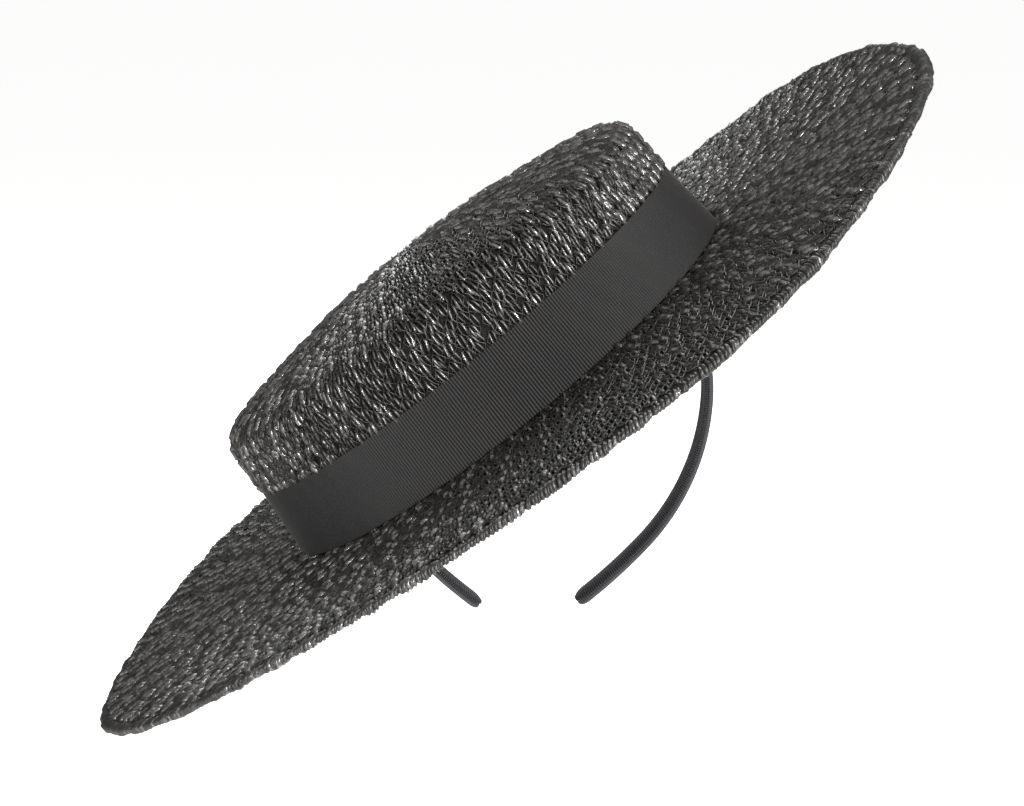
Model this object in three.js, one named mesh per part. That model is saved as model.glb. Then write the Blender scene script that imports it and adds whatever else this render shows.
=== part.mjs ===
// Straw boater on a grosgrain-covered headband.
// Millimetres, +Z up, with the wearer facing -Y. The origin is the middle of the headband's inner face,
// where it sits on top of the head. The hat is worn tilted, down towards -X.

import * as THREE from 'three';

// Crown, in the hat's own frame: Z is the crown's axis and Z = 0 is the brim's upper face beside the crown
const crownBaseRadius = 90.4;      // 568 mm round, about a size 57 block
const crownBandRadius = 87.9;      // at the ribbon's upper edge
const crownWallRadius = 87.6;      // at the top of the straight wall
const crownWallTop = 42;
const shoulderRadius = 71;         // where the rounded shoulder meets the domed tip
const shoulderTop = 49.6;
const crownTop = 57.2;
const strawThickness = 2.4;        // one layer of sewn plait

// Brim
const brimRadius = 180;            // to the outside of the edge round
const brimRisePower = 1.6;         // how late the brim's wave sets in on the way out from the crown
const edgeWidth = 5;               // the last round of plait, turned under
const edgeThickness = 3.8;
const brimWave = [                 // how far the edge lifts, in equal steps from +X towards +Y
  { lift: 5.5 },
  { lift: 9.9 },
  { lift: 4.1 },
  { lift: 0.4 },
  { lift: 3.7 },
  { lift: 5.1 },
  { lift: 1.6 },
  { lift: 3.1 },
  { lift: 3.5 },
  { lift: -0.9 },
  { lift: -4.9 },
  { lift: 0.9 },
];

// Hat ribbon
const ribbonTop = 25.4;            // a one-inch grosgrain, standing on the brim
const ribbonThickness = 1;

// Headband: a springy C in one plane with two like halves, each a run of arcs from the top to the tip
const headbandArcs = [
  { length: 43, radius: 64 },
  { length: 54, radius: 60 },
  { length: 61.6, radius: 85 },
  { length: 32.3, radius: 196 },
];
const headbandWidth = 9.5;
const headbandThickness = 3.6;     // cover and lining together
const liningWidth = 8.9;
const liningThickness = 0.8;
const tipRounding = 4.2;           // length of the rounding at each tip
const tipWidthShare = 0.3;         // how much of the width is left at the very end
const headbandLean = 7.3;          // degrees, the top towards the brow
const headbandTurn = 5.8;          // degrees about Z

// How the hat sits on the headband
const hatTilt = 38.5;              // degrees about Y
const hatCentre = new THREE.Vector3(-9.6, 2.8, -52.2);  // middle of the crown's base
const tackSpacing = 8;             // thread tacks along the headband under the crown's tip
const tackCount = 3;
const tackWidth = 2.2;
const tackThread = 0.9;
const tackReach = 1.25;            // from the cover up to the crown, at the middle tack

const gap = 0.3;                   // between pieces that touch
const roundSides = 72;
const edgeSides = 96;
const stripSteps = 60;

const straw = { color: 0x2a2826, roughness: 0.45, metalness: 0 };
const ribbonGrosgrain = { color: 0x252526, roughness: 0.8, metalness: 0 };
const bandGrosgrain = { color: 0x2b2b2d, roughness: 0.75, metalness: 0 };
const tackYarn = { color: 0x1b1b1c, roughness: 0.8, metalness: 0 };

function piece(name, geometry, finish) {
  const mesh = new THREE.Mesh(geometry, new THREE.MeshStandardMaterial(finish));
  mesh.name = name;
  return mesh;
}

function lerp(from, to, share) {
  return from + (to - from) * share;
}

// Turns an outline of [radius, height] rows about Z. A ring's outline is closed by repeating its first row.
function turned(outline, sides) {
  const points = outline.map(([radius, height]) => new THREE.Vector2(radius, height));
  return new THREE.LatheGeometry(points, sides).rotateX(Math.PI / 2);
}

function ring(outline, sides) {
  return turned([...outline, outline[0]], sides);
}

// Moves every vertex of a geometry by a function of its position
function shaped(geometry, move) {
  const positions = geometry.getAttribute('position');
  const vertex = new THREE.Vector3();
  for (let index = 0; index < positions.count; index += 1) {
    move(vertex.fromBufferAttribute(positions, index));
    positions.setXYZ(index, vertex.x, vertex.y, vertex.z);
  }
  geometry.computeVertexNormals();
  return geometry;
}

// Crown

function crownRadiusAt(height) {
  if (height <= 0) return crownBaseRadius;
  if (height < ribbonTop) return lerp(crownBaseRadius, crownBandRadius, height / ribbonTop);
  return lerp(crownBandRadius, crownWallRadius, (height - ribbonTop) / (crownWallTop - ribbonTop));
}

// The crown's section from the foot of the wall up to the middle of the tip, set in by an inset
function crownSection(inset) {
  const rows = [-strawThickness, 0, ribbonTop, crownWallTop].map((height) => [crownRadiusAt(height) - inset, height]);
  const shoulderSteps = 5;
  for (let step = 1; step <= shoulderSteps; step += 1) {
    const angle = (step / shoulderSteps) * Math.PI / 2;
    rows.push([
      lerp(shoulderRadius, crownWallRadius, Math.cos(angle)) - inset * Math.cos(angle),
      lerp(crownWallTop, shoulderTop, Math.sin(angle)) - inset * Math.sin(angle),
    ]);
  }
  const tipSteps = 4;
  for (let step = 1; step <= tipSteps; step += 1) {
    const share = step / tipSteps;
    rows.push([shoulderRadius * (1 - share), lerp(shoulderTop, crownTop, 1 - (1 - share) ** 2) - inset]);
  }
  return rows;
}

function crownShell() {
  return turned([...crownSection(strawThickness).reverse(), ...crownSection(0)], roundSides);
}

// Brim

// The wave's lift at an angle about the crown, by a smooth curve through the table's rows
function waveLift(angle) {
  const place = THREE.MathUtils.euclideanModulo(angle / (2 * Math.PI), 1) * brimWave.length;
  const row = Math.floor(place);
  const share = place - row;
  const [before, start, end, after] = [-1, 0, 1, 2].map(
    (step) => brimWave[(row + step + brimWave.length) % brimWave.length].lift,
  );
  const slopeIn = (end - before) / 2;
  const slopeOut = (after - start) / 2;
  const cubic = 2 * (start - end) + slopeIn + slopeOut;
  const square = 3 * (end - start) - 2 * slopeIn - slopeOut;
  return ((cubic * share + square) * share + slopeIn) * share + start;
}

function waved(geometry) {
  return shaped(geometry, (vertex) => {
    const radius = Math.hypot(vertex.x, vertex.y);
    const share = Math.max(0, (radius - crownBaseRadius) / (brimRadius - crownBaseRadius));
    vertex.z += waveLift(Math.atan2(vertex.y, vertex.x)) * share ** brimRisePower;
  });
}

function brimSheet() {
  const inner = crownBaseRadius + gap;
  const outer = brimRadius - edgeWidth - gap;
  const steps = 6;
  const under = [];
  const upper = [];
  for (let step = 0; step <= steps; step += 1) {
    const radius = lerp(inner, outer, step / steps);
    under.push([radius, -strawThickness]);
    upper.unshift([radius, 0]);
  }
  return waved(ring([...under, ...upper], roundSides));
}

function edgeRound() {
  const outline = [];
  const corners = 10;
  for (let corner = 0; corner < corners; corner += 1) {
    const angle = (corner / corners) * 2 * Math.PI;
    outline.push([
      brimRadius - edgeWidth / 2 + (edgeWidth / 2) * Math.cos(angle),
      -strawThickness / 2 + (edgeThickness / 2) * Math.sin(angle),
    ]);
  }
  return waved(ring(outline, edgeSides));
}

// Hat ribbon

function ribbonLoop() {
  const face = [gap, ribbonTop].map((height) => [crownRadiusAt(height) + gap + ribbonThickness, height]);
  const back = face.map(([radius, height]) => [radius - ribbonThickness, height]).reverse();
  return ring([...face, ...back], roundSides);
}

// Headband, in its own frame: X across the head, Y along the strip's width, Z up from the inner face at the top

const headbandHalf = headbandArcs.reduce((sum, arc) => sum + arc.length, 0);

// The strip's middle line, its direction and its outward side at a signed distance from the top
function headbandAt(distance) {
  const side = Math.sign(distance) || 1;
  let left = Math.abs(distance);
  let heading = 0;
  let across = 0;
  let up = headbandThickness / 2;
  for (const arc of headbandArcs) {
    const turn = Math.min(left, arc.length) / arc.radius;
    across += arc.radius * (Math.sin(heading + turn) - Math.sin(heading));
    up += arc.radius * (Math.cos(heading + turn) - Math.cos(heading));
    heading += turn;
    left = Math.max(0, left - arc.length);
  }
  return {
    centre: new THREE.Vector3(side * across, 0, up),
    outward: new THREE.Vector3(side * Math.sin(heading), 0, Math.cos(heading)),
  };
}

// Bends a straight strip, whose X is its width, Y its outward side and Z the distance from the top, round the head
function bent(geometry) {
  return shaped(geometry, (vertex) => {
    const { centre, outward } = headbandAt(vertex.z);
    const width = vertex.x;
    const depth = vertex.y;
    vertex.copy(centre).addScaledVector(outward, depth);
    vertex.y += width;
  });
}

// A strip of the whole headband's length, with short steps at its tips and its ends rounded in plan
function headbandStrip(section) {
  const strip = new THREE.ExtrudeGeometry(section, { depth: 1, steps: stripSteps, bevelEnabled: false });
  shaped(strip, (vertex) => {
    vertex.z = -headbandHalf * Math.cos(vertex.z * Math.PI);
    const inward = Math.min(1, (headbandHalf - Math.abs(vertex.z)) / tipRounding);
    vertex.x *= lerp(tipWidthShare, 1, Math.sqrt(1 - (1 - inward) ** 2));
  });
  return bent(strip);
}

function headbandCover() {
  const halfWidth = headbandWidth / 2;
  const inner = -headbandThickness / 2 + liningThickness + gap;
  const outer = headbandThickness / 2;
  const edge = lerp(inner, outer, 0.35);
  const section = new THREE.Shape();
  section.moveTo(-halfWidth * 0.94, inner);
  section.lineTo(halfWidth * 0.94, inner);
  section.lineTo(halfWidth, edge);
  section.lineTo(halfWidth * 0.72, lerp(edge, outer, 0.75));
  section.lineTo(halfWidth * 0.3, outer);
  section.lineTo(-halfWidth * 0.3, outer);
  section.lineTo(-halfWidth * 0.72, lerp(edge, outer, 0.75));
  section.lineTo(-halfWidth, edge);
  return headbandStrip(section);
}

function headbandLining() {
  const halfWidth = liningWidth / 2;
  const inner = -headbandThickness / 2;
  const outer = inner + liningThickness;
  const section = new THREE.Shape();
  section.moveTo(-halfWidth * 0.6, inner);
  section.lineTo(halfWidth * 0.6, inner);
  section.lineTo(halfWidth, lerp(inner, outer, 0.6));
  section.lineTo(halfWidth * 0.96, outer);
  section.lineTo(-halfWidth * 0.96, outer);
  section.lineTo(-halfWidth, lerp(inner, outer, 0.6));
  return headbandStrip(section);
}

// One tack: a loop of thread round the strip, whose upper side reaches the inside of the crown's tip
function headbandTack(distance, reach) {
  const halfWidth = headbandWidth / 2 + gap;
  const halfThickness = headbandThickness / 2 + gap;
  const outline = new THREE.Shape();
  outline.moveTo(-halfWidth - tackThread, -halfThickness - tackThread);
  outline.lineTo(halfWidth + tackThread, -halfThickness - tackThread);
  outline.lineTo(halfWidth + tackThread, headbandThickness / 2 + reach);
  outline.lineTo(-halfWidth - tackThread, headbandThickness / 2 + reach);
  const opening = new THREE.Path();
  opening.moveTo(-halfWidth, -halfThickness);
  opening.lineTo(-halfWidth, halfThickness);
  opening.lineTo(halfWidth, halfThickness);
  opening.lineTo(halfWidth, -halfThickness);
  outline.holes.push(opening);
  const loop = new THREE.ExtrudeGeometry(outline, { depth: tackWidth, bevelEnabled: false });
  return bent(loop.translate(0, 0, distance - tackWidth / 2));
}

const hat = new THREE.Group();
hat.position.copy(hatCentre);
hat.rotation.y = THREE.MathUtils.degToRad(-hatTilt);
hat.add(
  piece('crown', crownShell(), straw),
  piece('brim', brimSheet(), straw),
  piece('brim_edge', edgeRound(), straw),
  piece('hat_ribbon', ribbonLoop(), ribbonGrosgrain),
);

const headband = new THREE.Group();
headband.rotation.set(
  THREE.MathUtils.degToRad(headbandLean),
  0,
  THREE.MathUtils.degToRad(headbandTurn),
  'ZYX',
);
headband.add(
  piece('headband_cover', headbandCover(), bandGrosgrain),
  piece('headband_lining', headbandLining(), bandGrosgrain),
);

// The tacks sit where the headband runs level with the crown's tip
const topArc = headbandArcs[0];
const tackCentre = -topArc.radius * THREE.MathUtils.degToRad(hatTilt);
for (let tack = 0; tack < tackCount; tack += 1) {
  const offset = (tack - (tackCount - 1) / 2) * tackSpacing;
  const reach = tackReach + offset ** 2 / (2 * topArc.radius);
  headband.add(piece(`headband_tack_${tack + 1}`, headbandTack(tackCentre + offset, reach), tackYarn));
}

const boater = new THREE.Group();
boater.add(hat, headband);

export default boater;
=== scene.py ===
import math

import bpy
import numpy as np
from mathutils import Matrix, Vector
from mathutils.geometry import convex_hull_2d


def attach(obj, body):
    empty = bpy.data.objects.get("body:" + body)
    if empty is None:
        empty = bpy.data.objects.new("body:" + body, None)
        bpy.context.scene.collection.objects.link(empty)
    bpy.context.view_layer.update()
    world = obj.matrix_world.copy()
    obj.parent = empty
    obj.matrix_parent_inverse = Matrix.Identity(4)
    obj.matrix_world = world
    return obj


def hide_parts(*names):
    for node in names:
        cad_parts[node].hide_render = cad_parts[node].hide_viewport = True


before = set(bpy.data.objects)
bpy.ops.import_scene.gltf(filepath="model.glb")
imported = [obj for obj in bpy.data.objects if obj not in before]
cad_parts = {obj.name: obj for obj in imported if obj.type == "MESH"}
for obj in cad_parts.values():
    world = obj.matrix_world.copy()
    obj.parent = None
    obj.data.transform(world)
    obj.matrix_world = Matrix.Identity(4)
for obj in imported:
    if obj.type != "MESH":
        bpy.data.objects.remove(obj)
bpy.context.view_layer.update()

mm = 0.001
fullTurn = 2 * math.pi
dice = np.random.default_rng(38)

hat = {
    "tilt": 38.5,                      # degrees down towards -X
    "centre": (-9.6, 2.8, -52.2),      # middle of the crown's foot
    "strawThickness": 2.4,             # from the brim's upper face to its lower one
}
hatTilt = Matrix.Rotation(-math.radians(hat["tilt"]), 4, "Y")
hatToPart = Matrix.Translation(Vector(hat["centre"]) * mm) @ hatTilt
partToHat = hatToPart.inverted()


# small helpers

def pointsOf(mesh):
    flat = np.empty(len(mesh.vertices) * 3)
    mesh.vertices.foreach_get("co", flat)
    return flat.reshape(-1, 3)


def putPoints(mesh, points):
    mesh.vertices.foreach_set("co", np.ascontiguousarray(points, float).ravel())
    mesh.update()


def moved(points, matrix):
    turn = np.array(matrix)
    return points @ turn[:3, :3].T + turn[:3, 3]


def hatPoints(node):                   # a CAD node's corners in the hat's own frame
    return moved(pointsOf(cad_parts[node].data), partToHat)


def sectionOf(node):                   # the same corners as radius and height, once each
    return sorted({(round(math.hypot(x, y), 4), round(z, 4)) for x, y, z in hatPoints(node)})


def takeOnly(piece):                   # nothing else stays selected
    bpy.ops.object.select_all(action="DESELECT")
    piece.select_set(True)
    bpy.context.view_layer.objects.active = piece


def newPiece(name, size=(1, 1, 1)):    # names the primitive just added and settles its size and place
    piece = bpy.context.object
    piece.name = name
    piece.scale = size
    bpy.ops.object.transform_apply(location=True, rotation=True, scale=True)
    return piece


def newGrid(name, columns, rows, size=(1, 1, 1), place=(0, 0, 0)):
    bpy.ops.object.select_all(action="DESELECT")
    bpy.ops.mesh.primitive_grid_add(x_subdivisions=columns, y_subdivisions=rows, size=1, location=place)
    return newPiece(name, size)


def useModifier(piece, kind, **settings):
    takeOnly(piece)
    modifier = piece.modifiers.new(kind.title(), kind)
    for name, value in settings.items():
        setattr(modifier, name, value)
    bpy.ops.object.modifier_apply(modifier=modifier.name)


def repeatAlongX(piece, count, spacing, merge=False):
    useModifier(piece, "ARRAY", count=count, use_relative_offset=False, use_constant_offset=True,
                constant_offset_displace=(spacing, 0, 0), use_merge_vertices=merge,
                merge_threshold=0.02 * mm)


def joined(pieces, name):
    takeOnly(pieces[0])
    for piece in pieces:
        piece.select_set(True)
    bpy.ops.object.join()
    pieces[0].name = name
    return pieces[0]


def editAll(piece):
    takeOnly(piece)
    bpy.ops.object.mode_set(mode="EDIT")
    bpy.ops.mesh.select_all(action="SELECT")


def closeDoubles(piece, distance=0.02 * mm):
    editAll(piece)
    bpy.ops.mesh.remove_doubles(threshold=distance)
    bpy.ops.mesh.normals_make_consistent(inside=False)
    bpy.ops.object.mode_set(mode="OBJECT")


def shadeSmooth(piece, angle=None):
    takeOnly(piece)
    if angle is None:
        bpy.ops.object.shade_smooth()
    else:
        bpy.ops.object.shade_smooth_by_angle(angle=math.radians(angle))


def paint(piece, name, values):        # one number for each point, read by the materials
    attribute = piece.data.attributes.new(name, "FLOAT", "POINT")
    attribute.data.foreach_set("value", np.ascontiguousarray(values, np.float32))


def finishPiece(piece, nodes, material):
    piece.data.materials.clear()
    piece.data.materials.append(material)
    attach(piece, "root")
    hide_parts(*nodes)
    print("made", piece.name, len(piece.data.polygons), "faces")


# materials

def linear(hexColour):                 # sRGB hex to the renderer's linear colour
    channels = [int(hexColour[i:i + 2], 16) / 255 for i in (1, 3, 5)]
    return tuple(c / 12.92 if c <= 0.04045 else ((c + 0.055) / 1.055) ** 2.4 for c in channels) + (1,)


def startMaterial(name):
    material = bpy.data.materials.new(name)
    material.use_nodes = True
    material.node_tree.nodes.clear()
    return material


def addNode(material, kind, settings=(), links=()):
    node = material.node_tree.nodes.new(kind)
    for name, value in dict(settings).items():
        if hasattr(node, str(name)):
            setattr(node, name, value)
        else:
            node.inputs[name].default_value = value
    for name, source in dict(links).items():
        material.node_tree.links.new(source, node.inputs[name])
    return node


def noise(material, size, detail=2):   # size in mm on the real thing
    place = addNode(material, "ShaderNodeTexCoord")
    return addNode(material, "ShaderNodeTexNoise", {"Scale": 1 / (size * mm), "Detail": detail},
                   {"Vector": place.outputs["Object"]}).outputs["Fac"]


noiseRange = (0.4, 0.65)               # where most of a noise texture's values lie


def mapped(material, source, low, high, toLow, toHigh):
    return addNode(material, "ShaderNodeMapRange",
                   {"From Min": low, "From Max": high, "To Min": toLow, "To Max": toHigh},
                   {"Value": source}).outputs[0]


def blend(material, share, first, second):
    return addNode(material, "ShaderNodeMix",
                   {"data_type": "RGBA", 6: linear(first), 7: linear(second)}, {0: share}).outputs[2]


def bumps(material, height, strength, depth, **settings):  # depth in mm
    return addNode(material, "ShaderNodeBump", {"Strength": strength, "Distance": depth * mm, **settings},
                   {"Height": height}).outputs[0]


def closeMaterial(material, settings, links=()):
    surface = addNode(material, "ShaderNodeBsdfPrincipled", settings, links)
    addNode(material, "ShaderNodeOutputMaterial", links={"Surface": surface.outputs[0]})
    return material


strawLook = {
    "dark": "#151413",                 # dye-soaked strand in a fold
    "light": "#464340",                # paler strand: its tone differs at random, and on the glossier legs this paleness is a painted highlight
    "grain": 0.5,                      # mm, drawn coarser than the real fibre so that it shows
    "grainDepth": 0.2,
    "speckle": 1.1,                    # mm, where the lacquer is worn
    "worn": (0.4, 1.4),                # how much a strand's tone falls or rises in a speckle
    "leastTone": 0.06,
    "roughness": (0.42, 0.18),         # of the dullest strand and of the glossiest
    "specular": (0.15, 1),
}
underShadeLook = {
    # painted shade: darker than the darkest strand, for the shade between the loops
    "colours": ("#110f0e", "#060505"),
    "cell": 1.6,                       # mm, one strand end to the next
    "cellDepth": 0.5,
}
clothLook = {
    "crestPower": 3,                   # how narrow the painted highlight along each rib is
    "cloud": 22,                       # mm, from one faded patch to the next
    "cloudShare": 0.6,
    "cloudBase": 0.55,
    "threads": 0.5,                    # mm, across the ribs
    "threadDepth": 0.08,
}
threadLook = {
    "colours": ("#0f0f10", "#242426"),
    "twist": 0.3,                      # mm
    "twistDepth": 0.1,
}


def dyedStraw():                       # viscose straw, knotted and dyed black: satin strands, small glints; the glossier strands are also painted paler, a painted highlight
    material = startMaterial("dyedStraw")
    strandTone = addNode(material, "ShaderNodeAttribute", {"attribute_name": "tone"})
    speckle = noise(material, strawLook["speckle"], 1)
    worn = mapped(material, speckle, *noiseRange, *strawLook["worn"])
    tone = addNode(material, "ShaderNodeMath",
                   {"operation": "MULTIPLY_ADD", "use_clamp": True, 2: strawLook["leastTone"]},
                   {0: strandTone.outputs["Fac"], 1: worn}).outputs[0]
    grain = noise(material, strawLook["grain"])
    return closeMaterial(material, {"IOR": 1.7}, {
        "Base Color": blend(material, tone, strawLook["dark"], strawLook["light"]),
        "Roughness": mapped(material, tone, 0, 1, *strawLook["roughness"]),
        "Specular IOR Level": mapped(material, tone, 0, 1, *strawLook["specular"]),
        "Normal": bumps(material, grain, 0.6, strawLook["grainDepth"])})


def shadeUnderLoops():                     # the straw under the loops, packed tight, in painted shade: coloured darker than the strands as the shade between them, and matt
    material = startMaterial("shadeUnderLoops")
    place = addNode(material, "ShaderNodeTexCoord")
    cells = addNode(material, "ShaderNodeTexVoronoi",
                    {"Scale": 1 / (underShadeLook["cell"] * mm), "Randomness": 0.8},
                    {"Vector": place.outputs["Object"]}).outputs["Distance"]
    return closeMaterial(material, {"Roughness": 0.8, "Specular IOR Level": 0.15}, {
        "Base Color": blend(material, cells, *underShadeLook["colours"]),
        "Normal": bumps(material, cells, 0.8, underShadeLook["cellDepth"], invert=True)})


def grosgrain(name, valleyShade, crest, sheen):  # ribbed rayon: matt and a little cloudy, with painted shade between the ribs and a painted highlight along each rib
    material = startMaterial(name)
    rib = addNode(material, "ShaderNodeAttribute", {"attribute_name": "crest"})
    raised = addNode(material, "ShaderNodeMath", {"operation": "POWER", 1: clothLook["crestPower"]},
                     {0: rib.outputs["Fac"]})
    cloud = addNode(material, "ShaderNodeMath", {"operation": "MULTIPLY_ADD", 1: clothLook["cloudShare"],
                                                 2: clothLook["cloudBase"]},
                    {0: noise(material, clothLook["cloud"])})
    share = addNode(material, "ShaderNodeMath", {"operation": "MULTIPLY", "use_clamp": True},
                    {0: raised.outputs[0], 1: cloud.outputs[0]})
    threads = noise(material, clothLook["threads"], 1)
    return closeMaterial(
        material,
        {"IOR": 1.46, "Roughness": 0.65, "Specular IOR Level": 0.25, "Sheen Weight": sheen,
         "Sheen Roughness": 0.4},
        {"Base Color": blend(material, share.outputs[0], valleyShade, crest),
         "Normal": bumps(material, threads, 0.3, clothLook["threadDepth"])})


def sewingThread():                    # spun polyester: matt, twisted
    material = startMaterial("sewingThread")
    twist = noise(material, threadLook["twist"])
    return closeMaterial(material, {"Roughness": 0.7}, {
        "Base Color": blend(material, twist, *threadLook["colours"]),
        "Normal": bumps(material, twist, 0.5, threadLook["twistDepth"])})


straw = dyedStraw()
underLoopShade = shadeUnderLoops()
print("straw ready")


# the hat's surfaces, read from the CAD nodes

def crownFace():                       # the crown's outer section from foot to tip
    rows = sectionOf("crown")
    top = max(height for radius, height in rows)
    hull = [rows[i] for i in convex_hull_2d([Vector(row) for row in rows])]
    face = {}
    for radius, height in hull:
        if radius > mm or height == top:
            face[height] = max(radius, face.get(height, 0))
    return [(face[height], height) for height in sorted(face)]


def even(rows, sink=0.0, step=0.25 * mm, blur=15):
    # a section as evenly spaced samples with rounded corners; it looks out to the right of the way it runs
    rows = np.array(rows, float)
    along = np.concatenate([[0], np.cumsum(np.hypot(*np.diff(rows, axis=0).T))])
    steps = np.arange(0, along[-1] + step, step)
    kernel = np.ones(blur) / blur
    half = blur // 2
    soft = []
    for column in (0, 1):
        values = np.interp(steps, along, rows[:, column])
        slopeIn, slopeOut = values[1] - values[0], values[-1] - values[-2]
        lead = values[0] - slopeIn * np.arange(half, 0, -1)
        tail = values[-1] + slopeOut * np.arange(1, half + 1)
        soft.append(np.convolve(np.concatenate([lead, values, tail]), kernel, mode="valid"))
    radius, height = soft
    towards = np.gradient(radius), np.gradient(height)
    size = np.hypot(*towards)
    outRadius, outHeight = towards[1] / size, -towards[0] / size
    radius, height = radius - outRadius * sink, height - outHeight * sink
    along = np.concatenate([[0], np.cumsum(np.hypot(np.diff(radius), np.diff(height)))])
    return {"along": along, "radius": radius, "height": height, "outRadius": outRadius,
            "outHeight": outHeight}


edgePoints = hatPoints("brim_edge")
edgeRadii = np.hypot(edgePoints[:, 0], edgePoints[:, 1])
edgeAngles = np.round(np.arctan2(edgePoints[:, 1], edgePoints[:, 0]) % fullTurn, 3)
edgeColumns = np.unique(edgeAngles)
edgeMiddle = np.array([edgePoints[edgeAngles == angle, 2].mean() for angle in edgeColumns])
edgeOuter = edgeRadii.max()
edgeInner = edgeRadii.min()
crownRows = crownFace()
crownFoot = crownRows[0][0]
sheetMiddle = -hat["strawThickness"] / 2 * mm
brimRisePower = 1.6                    # as in the brim's solid


def waveLift(theta, radius):           # how far the brim's wave lifts a spot
    lift = np.interp(theta % fullTurn, edgeColumns, edgeMiddle, period=fullTurn) - sheetMiddle
    share = np.clip((radius - crownFoot) / (edgeOuter - crownFoot), 0, None)
    return lift * share ** brimRisePower


def onSection(section, theta, along, out, waved=False):
    radius, height, outRadius, outHeight = (np.interp(along, section["along"], section[name])
                                            for name in ("radius", "height", "outRadius", "outHeight"))
    radius = radius + out * outRadius
    height = height + out * outHeight
    if waved:
        height = height + waveLift(theta, radius)
    return moved(np.column_stack([radius * np.cos(theta), radius * np.sin(theta), height]), hatToPart)


# the looped plait: one knot modelled, repeated into one long strip, coiled on the hat as it is sewn

plait = {
    "row": 5.4,                        # one round to the next
    "strand": 0.7,                     # half the width of a strand
    "cord": 0.4,
    "shift": 0.3,                      # how loosely the knots sit
    "widthVaries": 0.12,
    "lean": 0.16,
    "swell": 0.1,
    "heights": (0.4, 1.7),             # the least and the most that a knot stands up
    "shinyEvery": 3,                   # a float of glossier yarn in one knot of three, also painted paler as a highlight
    "shinyRise": 0.42,
    "shinyLength": 0.2,
    "shinyTone": 0.7,
    "dullTone": 0.7,
    "knotTone": (0.4, 1.1),            # a whole knot's share of tone, and how much it varies
    "tuck": 4,                         # pressed flat over this length at an end that is covered
    "tuckedHeight": 0.3,
}
fullKnot = {                           # strand routes in mm: along the plait, across it and outwards
    "pitch": 4.8,                      # one knot to the next
    "legs": [[(-0.4, -2.8, 0.0), (-0.85, -1.2, 0.9), (-0.75, 1.3, 0.8), (-0.3, 2.8, 0.0)],
             [(0.4, -2.7, 0.1), (0.75, -1.2, 0.8), (0.85, 1.2, 0.9), (0.3, 2.8, 0.0)],
             [(2.0, 0.0, 0.0), (1.55, 1.5, 0.75), (1.6, 4.0, 0.85), (2.1, 5.4, 0.0)],
             [(2.8, 0.1, 0.0), (3.2, 1.4, 0.85), (3.2, 4.1, 0.75), (2.7, 5.3, 0.0)]],
    "cords": [[(0.7, -3.0, 1.05), (-1.5, -1.5, 0.95), (-2.5, 0.2, 0.9), (0.6, 3.0, 1.05)],
              [(-0.7, -3.0, 0.95), (2.5, -0.2, 1.0), (1.5, 1.5, 0.95), (-0.6, 3.0, 1.0)]],
}
plainKnot = {                          # the looser back of the plait, inside the crown and under the brim
    "pitch": 5.4,
    "legs": [[(-0.7, -2.8, 0.0), (-1.2, 0.0, 1.1), (-0.6, 2.8, 0.0)],
             [(0.7, -2.8, 0.0), (1.2, 0.2, 1.05), (0.6, 2.8, 0.0)]],
    "cords": [[(0.4, -2.9, 1.0), (-2.3, 0.0, 0.6), (0.4, 2.9, 1.0)],
              [(-0.4, -2.9, 1.0), (2.3, 0.0, 0.6), (-0.4, 2.9, 1.0)]],
}


def strand(name, route, half, sides=3):
    route = [Vector(spot) * mm for spot in route]
    bpy.ops.object.select_all(action="DESELECT")
    bpy.ops.mesh.primitive_circle_add(vertices=sides, radius=half * mm, fill_type="NGON",
                                      location=route[0], rotation=(math.pi / 2, 0, math.pi))
    piece = newPiece(name)
    editAll(piece)
    for here, there in zip(route, route[1:]):
        bpy.ops.mesh.extrude_region_move(TRANSFORM_OT_translate={"value": there - here})
    bpy.ops.mesh.select_all(action="SELECT")
    bpy.ops.mesh.normals_make_consistent(inside=False)
    bpy.ops.object.mode_set(mode="OBJECT")
    return piece


def bundle(name, legs, cords):         # legs first, so that their points come first
    legPoints = sum(len(leg.data.vertices) for leg in legs)
    return joined(legs + cords, name), legPoints


def coilTable(section, start, finish):  # the angle reached at each length of plait
    spare, step = 0.2, 0.01            # radians
    theta = np.arange(0, fullTurn * (finish - start) / (plait["row"] * mm) + spare, step)
    along = start + plait["row"] * mm * theta / fullTurn
    radius = np.interp(along, section["along"], section["radius"])
    length = np.concatenate([[0], np.cumsum((radius[1:] + radius[:-1]) / 2 * np.diff(theta))])
    return length, theta


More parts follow.
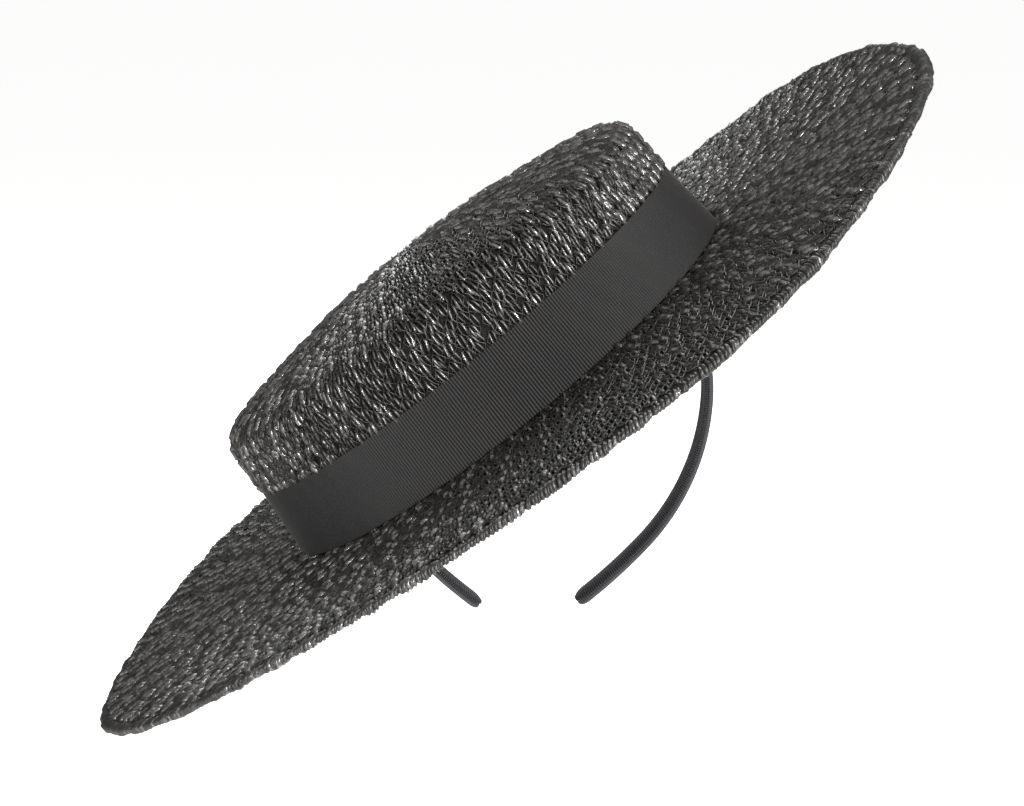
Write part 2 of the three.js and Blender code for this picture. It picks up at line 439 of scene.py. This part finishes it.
def coiledPlait(name, section, start, finish, routes, waved=False, turned=0.0, tucked=None):
    length, theta = coilTable(section, start, finish)
    pitch = routes["pitch"] * mm
    row = plait["row"] * mm
    shift = plait["shift"] * mm
    piece, legPoints = bundle("knot", [strand("leg", route, plait["strand"]) for route in routes["legs"]],
                              [strand("cord", route, plait["cord"]) for route in routes["cords"]])
    perKnot = len(piece.data.vertices)
    count = math.ceil(np.interp(fullTurn * (finish - start) / row, theta, length) / pitch)
    repeatAlongX(piece, count, pitch)
    piece.name = name

    points = pointsOf(piece.data)
    which = np.arange(len(points)) // perKnot
    inKnot = np.arange(len(points)) % perKnot
    legs = len(routes["legs"])
    isLeg = inKnot < legPoints
    whichLeg = np.minimum(inKnot // (legPoints // legs), legs - 1)
    shiny = np.zeros((count, legs), bool)
    shiny[::plait["shinyEvery"], 0] = True
    shiny[1::plait["shinyEvery"] * 2, 1] = True
    raised = shiny[which, whichLeg] & isLeg

    wide, lean, slide, rise = (dice.normal(0, 1, count)[which] for _ in range(4))
    across = (points[:, 0] - which * pitch) * (1 + plait["widthVaries"] * wide)
    across = across + points[:, 1] * plait["lean"] * lean
    x = (which + 0.5) * pitch + across + shift * slide
    y = points[:, 1] * (1 + plait["shinyLength"] * raised) + shift * np.roll(slide, perKnot)
    z = points[:, 2] * np.clip(1 + plait["swell"] * rise + plait["shinyRise"] * raised, *plait["heights"])
    reached = np.interp(x, length, theta)
    along = start + row * reached / fullTurn + y
    if tucked:
        fromEnd = np.abs(along - {"start": start, "finish": finish}[tucked])
        z = z * np.interp(fromEnd, [0, plait["tuck"] * mm], [plait["tuckedHeight"], 1])
    putPoints(piece.data, onSection(section, reached + turned, along, z, waved))

    # a strand's tone makes it paler as well as glossier: on the glossier legs the paleness is a painted
    # highlight, elsewhere it differs at random
    base, varies = plait["knotTone"]
    tone = plait["dullTone"] * dice.random((count, legs)) ** 2 * (base + varies * dice.random((count, 1)))
    glossAndPaintedGlint = plait["shinyTone"] + (1 - plait["shinyTone"]) * dice.random((count, legs))
    tone = np.where(shiny, glossAndPaintedGlint, np.clip(tone, 0, 1))[which, whichLeg]
    paint(piece, "tone", np.where(isLeg, tone, 0))
    shadeSmooth(piece)
    return piece


def strawSheet(name, section, around, rows, thickness=0, waved=False):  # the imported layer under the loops
    piece = newGrid(name, around, rows)
    points = pointsOf(piece.data)
    theta = (points[:, 0] + 0.5) * fullTurn
    along = (points[:, 1] + 0.5) * section["along"][-1]
    putPoints(piece.data, onSection(section, theta, along, 0 * theta, waved))
    closeDoubles(piece)
    if thickness:
        useModifier(piece, "SOLIDIFY", thickness=thickness * mm, offset=-1)
        shadeSmooth(piece, angle=40)
    return piece


crown = {
    "under": 3,                        # how far the plait carries on beneath the ribbon's upper edge
    "sink": 0.95,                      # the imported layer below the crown's outer face
    "core": 0.6,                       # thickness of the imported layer
    "tipHole": 3,                      # where the coil stops short of the middle
    "insideTurn": 0.4,                 # the inner coil starts this much further round
    "button": 3.9,                     # radius of the knot in the middle
    "buttonHeight": 0.32,              # as a share of its radius
    "buttonTone": 0.3,
}
ribbonRows = sectionOf("hat_ribbon")
ribbonTop = max(height for radius, height in ribbonRows)
ribbonFoot = min(height for radius, height in ribbonRows)

outside = even(crownRows, crown["sink"] * mm)
wallStart = np.interp(ribbonTop - crown["under"] * mm, outside["height"], outside["along"])
tipFinish = outside["along"][-1] - crown["tipHole"] * mm
crownPlait = coiledPlait("crownPlait", outside, wallStart, tipFinish, fullKnot, tucked="start")
finishPiece(crownPlait, ["crown"], straw)

inside = even(crownRows[::-1], -(hat["strawThickness"] - crown["sink"]) * mm)
crownInside = coiledPlait("crownInsidePlait", inside, crown["tipHole"] * mm, inside["along"][-1],
                          plainKnot, turned=crown["insideTurn"])
finishPiece(crownInside, ["crown"], straw)
crownCore = strawSheet("crownCore", outside, around=120, rows=30, thickness=crown["core"])
finishPiece(crownCore, ["crown"], underLoopShade)

tip = hatToPart @ Vector((0, 0, outside["height"][-1]))
bpy.ops.mesh.primitive_uv_sphere_add(segments=20, ring_count=8, radius=crown["button"] * mm, location=tip,
                                     rotation=(0, -math.radians(hat["tilt"]), 0))
button = newPiece("crownButton", size=(1, 1, crown["buttonHeight"]))
paint(button, "tone", np.full(len(button.data.vertices), crown["buttonTone"]))
shadeSmooth(button)
finishPiece(button, ["crown"], straw)


# brim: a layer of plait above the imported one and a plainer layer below

brim = {
    "sink": 0.95,
    "core": 0.6,
    "lengths": 2,                      # the long coil is made in this many lengths
    "overEdge": 1.5,                   # it starts this far outside the rim's inner side
    "underCrown": 0.5,
    "underStart": 1,
    "underTurn": 1.1,
}
brimRows = [(edgeInner + brim["overEdge"] * mm, 0), (crownFoot - brim["underCrown"] * mm, 0)]
upper = even(brimRows, brim["sink"] * mm)
brimWide = upper["along"][-1]
lengthWide = round(brimWide / brim["lengths"] / (plait["row"] * mm)) * plait["row"] * mm
for number in range(brim["lengths"]):
    last = number == brim["lengths"] - 1
    stop = brimWide if last else (number + 1) * lengthWide
    length = coiledPlait(f"brimPlait{number + 1}", upper, number * lengthWide, stop, fullKnot, waved=True,
                         tucked="finish" if last else None)
    finishPiece(length, ["brim"], straw)

under = even(brimRows[::-1], -(hat["strawThickness"] - brim["sink"]) * mm)
brimUnder = coiledPlait("brimUnderPlait", under, brim["underStart"] * mm, under["along"][-1], plainKnot,
                        waved=True, turned=brim["underTurn"], tucked="finish")
finishPiece(brimUnder, ["brim"], straw)
brimCore = strawSheet("brimCore", upper, around=200, rows=20, thickness=brim["core"], waved=True)
finishPiece(brimCore, ["brim"], underLoopShade)


# the brim's edge: the last round is turned under, so its loops wrap over the rim

edge = {
    "pitch": 3.0,                      # one pair of loops to the next
    "strand": 0.78,
    "cord": 0.5,
    "beside": (-0.85, 0.8),            # the two legs of a pair
    "leg": [(-1.2, -1, -0.8), (-0.9, -0.5, 0.05), (-0.4, -0.2, 0.0), (-0.1, -0.07, 0.05),
            (0.1, 0.07, 0.05), (0.4, 0.2, 0.0), (0.9, 0.5, 0.0), (1.2, 0.95, -0.8)],
    "cordRoute": [(-1.9, -0.9, -0.5), (-1.2, -0.3, 0.2), (-0.3, -0.08, 0.35), (0.4, 0.08, 0.35),
                  (1.3, 0.4, 0.25), (2.3, 0.9, -0.5)],  # along the rim, share of the way over, outwards
    "bulge": 0.42,                     # soft lumps where the plait was turned
    "bulgeEvery": 2,                   # pairs of loops
    "bulgeRange": (-0.5, 1.8),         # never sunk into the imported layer
    "thickness": 2.9,
    "proud": 0.75,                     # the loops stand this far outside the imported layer
    "overBrim": 1,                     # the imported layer's lips reach this far over the brim
    "fullFrom": 1.5,                   # and it has its full thickness from here on
    "lip": 0.7,                        # share of that thickness at the lips
    "middle": 2,                       # the loops are counted on a line this far in
    "slide": 0.18,
    "slant": 0.06,
    "rise": 0.1,
    "loose": 1.6,                      # how unevenly the loops start and end
    "looseRange": (-1, 0.3),
    "tone": 0.8,
    "cordTone": 0.3,
}
half = edge["thickness"] / 2 * mm - edge["proud"] * mm
lipHalf = half * edge["lip"]
lipAt = edgeInner - edge["overBrim"] * mm
fullAt = edgeInner + edge["fullFrom"] * mm
outerAt = edgeOuter - edge["proud"] * mm
rim = even([(lipAt, sheetMiddle - lipHalf), (fullAt, sheetMiddle - half), (outerAt, sheetMiddle - half),
            (outerAt, sheetMiddle + half), (fullAt, sheetMiddle + half), (lipAt, sheetMiddle + lipHalf)],
           blur=9)
rimWide = rim["along"][-1]


def rimLoops(name):
    around = fullTurn * (edgeOuter - edge["middle"] * mm)
    count = round(around / (edge["pitch"] * mm))
    middle = rimWide / mm / 2
    legs = [strand("leg", [(beside + along, over * middle, out) for along, over, out in edge["leg"]],
                   edge["strand"], sides=4) for beside in edge["beside"]]
    cord = strand("cord", [(along, over * middle, out) for along, over, out in edge["cordRoute"]],
                  edge["cord"], sides=4)
    piece, legPoints = bundle(name, legs, [cord])
    perLoop = len(piece.data.vertices)
    repeatAlongX(piece, count, around / count)

    points = pointsOf(piece.data)
    which = np.arange(len(points)) // perLoop
    whichStrand = np.minimum(np.arange(len(points)) % perLoop * 2 // legPoints, 2)
    slide, rise, slant, longer = (dice.normal(0, 1, (count, 3))[which, whichStrand] for _ in range(4))
    x = points[:, 0] + edge["slide"] * mm * slide + points[:, 1] * edge["slant"] * slant
    lumps = dice.normal(0, 1, count // edge["bulgeEvery"] + 2)
    lump = np.interp(points[:, 0] / (around / count) / edge["bulgeEvery"], np.arange(len(lumps)), lumps)
    z = points[:, 2] + (edge["rise"] * rise + edge["bulge"] * np.clip(lump, *edge["bulgeRange"])) * mm
    longer = edge["loose"] * mm * np.clip(longer, *edge["looseRange"])
    along = rimWide / 2 + points[:, 1] + longer * points[:, 1] / rimWide
    putPoints(piece.data, onSection(rim, x / around * fullTurn, along, z, waved=True))

    tone = edge["tone"] * dice.random((count, 3)) ** 4
    tone[:, 2] *= edge["cordTone"]
    paint(piece, "tone", tone[which, whichStrand])
    shadeSmooth(piece)
    return piece


finishPiece(rimLoops("rimLoops"), ["brim_edge"], straw)
rimCore = strawSheet("rimCore", rim, around=240, rows=14, waved=True)
finishPiece(rimCore, ["brim_edge"], underLoopShade)


# hat ribbon

def ribbedStrip(name, count, ribs):    # ribs lie along Y, side by side along X
    rib = ribs["rib"] * mm
    piece = newGrid(name, ribs["ribSteps"], ribs["acrossSteps"], (rib, 1, 1), (rib / 2, 0, 0))
    repeatAlongX(piece, count, rib, merge=True)
    points = pointsOf(piece.data)
    crest = np.abs(np.sin(np.pi * points[:, 0] / rib))
    points[:, 2] = crest * ribs["ribHeight"] * mm
    putPoints(piece.data, points)
    # the crest drives the colour: painted shade in the grooves, painted highlight on the ribs; contrast
    # sets how strong it is
    paint(piece, "crest", 1 - ribs["contrast"] * (1 - crest))
    return piece


ribbon = {
    "colours": ("#020202", "#232120"),  # painted shade between the ribs, painted highlight on them
    "sheen": 0.02,
    "rib": 1.03,
    "ribHeight": 0.34,
    "ribSteps": 4,
    "acrossSteps": 4,
    "contrast": 1,
    "thickness": 0.55,
    "lap": 12,                         # one end over the other, at the back
    "lapGap": 0.3,
    "lapRise": (-2, 1),                # from here to here past the other end, the upper end climbs
    "lapAngle": 90,                    # degrees from +X, on the side away from the face
    "wander": 0.12,                    # how unevenly the woven edge runs
    "wanderRibs": 5,
    "waver": 0.1,                      # how far a rib strays from straight
    "bends": 9,                        # radians of bending from edge to edge
}
ribbonCloth = grosgrain("ribbonGrosgrain", *ribbon["colours"], ribbon["sheen"])
ribbonRadius = max(radius for radius, height in ribbonRows)
ribbonTopRadius = max(radius for radius, height in ribbonRows if height > ribbonTop - mm)
ribbonFace = even([(ribbonRadius, ribbonFoot), (ribbonTopRadius, ribbonTop)], ribbon["ribHeight"] * mm,
                  blur=1)
ribbonAround = fullTurn * ribbonRadius
ribCount = round((ribbonAround + ribbon["lap"] * mm) / (ribbon["rib"] * mm))
hatRibbon = ribbedStrip("hatRibbon", ribCount, ribbon)
points = pointsOf(hatRibbon.data)
whichRib = np.floor(points[:, 0] / (ribbon["rib"] * mm) + 0.01).astype(int)
kernel = np.ones(ribbon["wanderRibs"]) / ribbon["wanderRibs"] ** 0.5
wander = np.convolve(dice.normal(0, 1, ribCount + 7), kernel, mode="same")[whichRib]  # a few to spare
lapFrom, lapTo = ribbon["lapRise"]
lapShare = np.clip((points[:, 0] - ribbonAround - lapFrom * mm) / ((lapTo - lapFrom) * mm), 0, 1)
x = points[:, 0] + ribbon["waver"] * mm * np.sin(points[:, 1] * ribbon["bends"] + whichRib * 0.7)
along = (points[:, 1] + 0.5) * ribbonFace["along"][-1]
along = along + ribbon["wander"] * mm * wander * np.abs(points[:, 1]) * 2
out = points[:, 2] + lapShare * (ribbon["thickness"] + ribbon["lapGap"]) * mm
theta = x / ribbonRadius + math.radians(ribbon["lapAngle"])
putPoints(hatRibbon.data, onSection(ribbonFace, theta, along, out))
useModifier(hatRibbon, "SOLIDIFY", thickness=ribbon["thickness"] * mm, offset=-1)
shadeSmooth(hatRibbon, angle=50)
finishPiece(hatRibbon, ["hat_ribbon"], ribbonCloth)


# headband: a ribbed cover, and a lining inside it; the spring inside the cover is not modelled

headband = {
    # painted shade between the ribs, painted highlight on them
    "colours": ("#020203", "#3a3a3d"),
    "sheen": 0.04,
    "arcs": [(43, 64), (54, 60), (61.6, 85), (32.3, 196)],  # length and radius, from the top to a tip
    "thickness": 3.6,
    "overlap": 0.5,                    # the cover is sewn down onto the lining's rounded back
    "tip": 4.4,                        # length of the rounding at each tip
    "bluntness": 0.6,                  # the tips thin out later than they narrow
    "lean": 7.3,                       # degrees, the top towards the brow
    "turn": 5.8,
}
cover = {
    "width": 9.5,
    "roundness": 0.75,                 # 1 is an ellipse, less is squarer
    "rib": 0.9,
    "ribHeight": 0.07,
    "ribSteps": 3,
    "acrossSteps": 18,
    "contrast": 0.25,
}
lining = {
    "width": 8.9,
    "thickness": 1.6,
    "roundness": 0.8,
    "rib": 0.9,
    "ribHeight": 0.36,
    "ribSteps": 4,
    "acrossSteps": 12,
    "contrast": 1,
}
bandCloth = grosgrain("headbandGrosgrain", *headband["colours"], headband["sheen"])
headbandHalf = sum(length for length, radius in headband["arcs"])
bandTurn = Matrix.Rotation(math.radians(headband["turn"]), 4, "Z")
bandToPart = bandTurn @ Matrix.Rotation(math.radians(headband["lean"]), 4, "X")
bandOuter = headband["thickness"] / 2
bandInner = -bandOuter


def onHeadband(distance, wide, out):   # metres along the strip from its top, across it and outwards
    side = np.sign(distance)
    left = np.abs(distance) / mm
    heading = np.zeros(len(distance))
    across = np.zeros(len(distance))
    up = np.full(len(distance), bandOuter)
    for length, radius in headband["arcs"]:
        turn = np.clip(left, 0, length) / radius
        across += radius * (np.sin(heading + turn) - np.sin(heading))
        up += radius * (np.cos(heading + turn) - np.cos(heading))
        heading += turn
        left = np.clip(left - length, 0, None)
    outX, outZ = side * np.sin(heading), np.cos(heading)
    inBand = np.column_stack([side * across * mm + outX * out, wide, up * mm + outZ * out])
    return moved(inBand, bandToPart)


def squared(wave, roundness):          # makes a circle's sine or cosine a rounded bar's
    return np.sign(wave) * np.abs(wave) ** roundness


def bandStrip(name, ribs, low, high):  # a ribbed bar along the headband, from low to high in mm
    count = round(2 * headbandHalf / ribs["rib"])
    piece = ribbedStrip(name, count, ribs)
    points = pointsOf(piece.data)
    distance = (points[:, 0] / (count * ribs["rib"] * mm) - 0.5) * 2 * headbandHalf * mm
    inward = np.clip((headbandHalf * mm - np.abs(distance)) / (headband["tip"] * mm), 0, 1)
    taper = np.sqrt(1 - (1 - inward) ** 2)
    angle = (points[:, 1] + 0.5) * fullTurn
    wide = ribs["width"] / 2 * squared(np.cos(angle), ribs["roundness"])
    out = (high - low) / 2 * squared(np.sin(angle), ribs["roundness"])
    swell = 1 + points[:, 2] / mm / np.hypot(wide, out)
    out = (low + high) / 2 + out * swell * taper ** headband["bluntness"]
    putPoints(piece.data, onHeadband(distance, wide * swell * taper * mm, out * mm))
    closeDoubles(piece)
    shadeSmooth(piece, angle=60)
    return piece


liningTop = bandInner + lining["thickness"]
finishPiece(bandStrip("headbandCover", cover, liningTop - headband["overlap"], bandOuter),
            ["headband_cover"], bandCloth)
finishPiece(bandStrip("headbandLining", lining, bandInner, liningTop),
            ["headband_lining"], bandCloth)


# tacks that hold the crown to the headband

tack = {
    "count": 3,
    "spacing": 8,
    "turns": 3,
    "turnSpacing": 2.1,                # in half thicknesses of thread
    "thread": 0.36,                    # half the thread's thickness
    "reach": 1.25,                     # from the cover up to the crown
    "squareness": 0.75,                # 0 is an ellipse, 1 a rectangle
}
thread = sewingThread()
topRadius = headband["arcs"][0][1]
ringThickness = 0.08                   # of the plain ring that each turn is shaped from


def tackTurn(name, distance, reach):   # one turn of thread round the headband
    bpy.ops.object.select_all(action="DESELECT")
    bpy.ops.mesh.primitive_torus_add(major_segments=28, minor_segments=6, major_radius=1,
                                     minor_radius=ringThickness)
    piece = newPiece(name)
    points = pointsOf(piece.data)
    threadSize = tack["thread"] / ringThickness
    angle = np.arctan2(points[:, 1], points[:, 0])
    outwards = (np.hypot(points[:, 0], points[:, 1]) - 1) * threadSize
    low, high = bandInner - tack["thread"], bandOuter + reach
    corner = np.maximum(np.abs(np.cos(angle)), np.abs(np.sin(angle))) ** tack["squareness"]
    wide = (cover["width"] / 2 + tack["thread"] + outwards) * np.cos(angle) / corner
    out = (low + high) / 2 + ((high - low) / 2 + outwards) * np.sin(angle) / corner
    beside = distance + points[:, 2] * threadSize
    putPoints(piece.data, onHeadband(beside * mm, wide * mm, out * mm))
    shadeSmooth(piece)
    return piece


for number in range(tack["count"]):
    offset = (number - (tack["count"] - 1) / 2) * tack["spacing"]
    distance = offset - topRadius * math.radians(hat["tilt"])  # under the crown's tip
    reach = tack["reach"] + offset ** 2 / (2 * topRadius)
    turns = []
    for turn in range(tack["turns"]):
        beside = (turn - (tack["turns"] - 1) / 2) * tack["thread"] * tack["turnSpacing"]
        turns.append(tackTurn(f"tackTurn{turn + 1}", distance + beside, reach))
    finishPiece(joined(turns, f"tack{number + 1}"), [f"headband_tack_{number + 1}"], thread)


# floor, light and camera

floor = {
    "height": -0.42,                   # metres; the hat is held up, as a head would hold it
    "size": 80,
    "colour": "#f4f4f3",
    "glow": 0.5,                       # painted light: the floor glows as if lit from beneath, with no lamp there
}
bpy.ops.mesh.primitive_plane_add(size=floor["size"], location=(0, 0, floor["height"]))
floorPiece = newPiece("floor")
paper = startMaterial("matPaper")      # pale seamless paper: even and matt, with a glow that is painted light
closeMaterial(paper, {"Base Color": linear(floor["colour"]), "Roughness": 0.9, "Specular IOR Level": 0,
                      "Emission Color": linear("#ffffff"), "Emission Strength": floor["glow"]})
floorPiece.data.materials.append(paper)

world = bpy.data.worlds.new("softSky")
world.use_nodes = True
sky = world.node_tree.nodes["Background"]
sky.inputs["Color"].default_value = linear("#ffffff")
skyLight = 0.52                        # the sky's strength as a light; to look at it is white
rays = world.node_tree.nodes.new("ShaderNodeLightPath")
seen = world.node_tree.nodes.new("ShaderNodeMapRange")
seen.inputs["To Min"].default_value = skyLight
world.node_tree.links.new(rays.outputs["Is Camera Ray"], seen.inputs["Value"])
world.node_tree.links.new(seen.outputs[0], sky.inputs["Strength"])
bpy.context.scene.world = world
bpy.context.scene.view_settings.view_transform = "Standard"

lights = {                             # name: place, size in metres, power in watts
    "back": ((0.1, 1.8, 1.0), 1.8, 34),
    "key": ((0.5, -1.0, 1.0), 0.35, 17),
    "front": ((0.15, -1.5, 0.25), 0.35, 40),
    "side": ((1.3, -0.2, 0.8), 0.4, 5),
}
lightTarget = Vector((0, 0, -0.05))
for name, (place, size, power) in lights.items():
    lampData = bpy.data.lights.new(name, "AREA")
    lampData.size = size
    lampData.energy = power
    lamp = bpy.data.objects.new(name, lampData)
    lamp.location = place
    lamp.rotation_euler = (lightTarget - lamp.location).to_track_quat("-Z", "Y").to_euler()
    bpy.context.collection.objects.link(lamp)

view = {
    "place": (-0.0077, -0.7263, 0.0919),
    "down": 11.74,                     # degrees below level
    "lens": 75,
}
cameraData = bpy.data.cameras.new("camera")
cameraData.lens = view["lens"]
camera = bpy.data.objects.new("camera", cameraData)
camera.location = view["place"]
camera.rotation_euler = (math.radians(90 - view["down"]), 0, 0)
bpy.context.collection.objects.link(camera)
bpy.context.scene.camera = camera

print("scene ready")
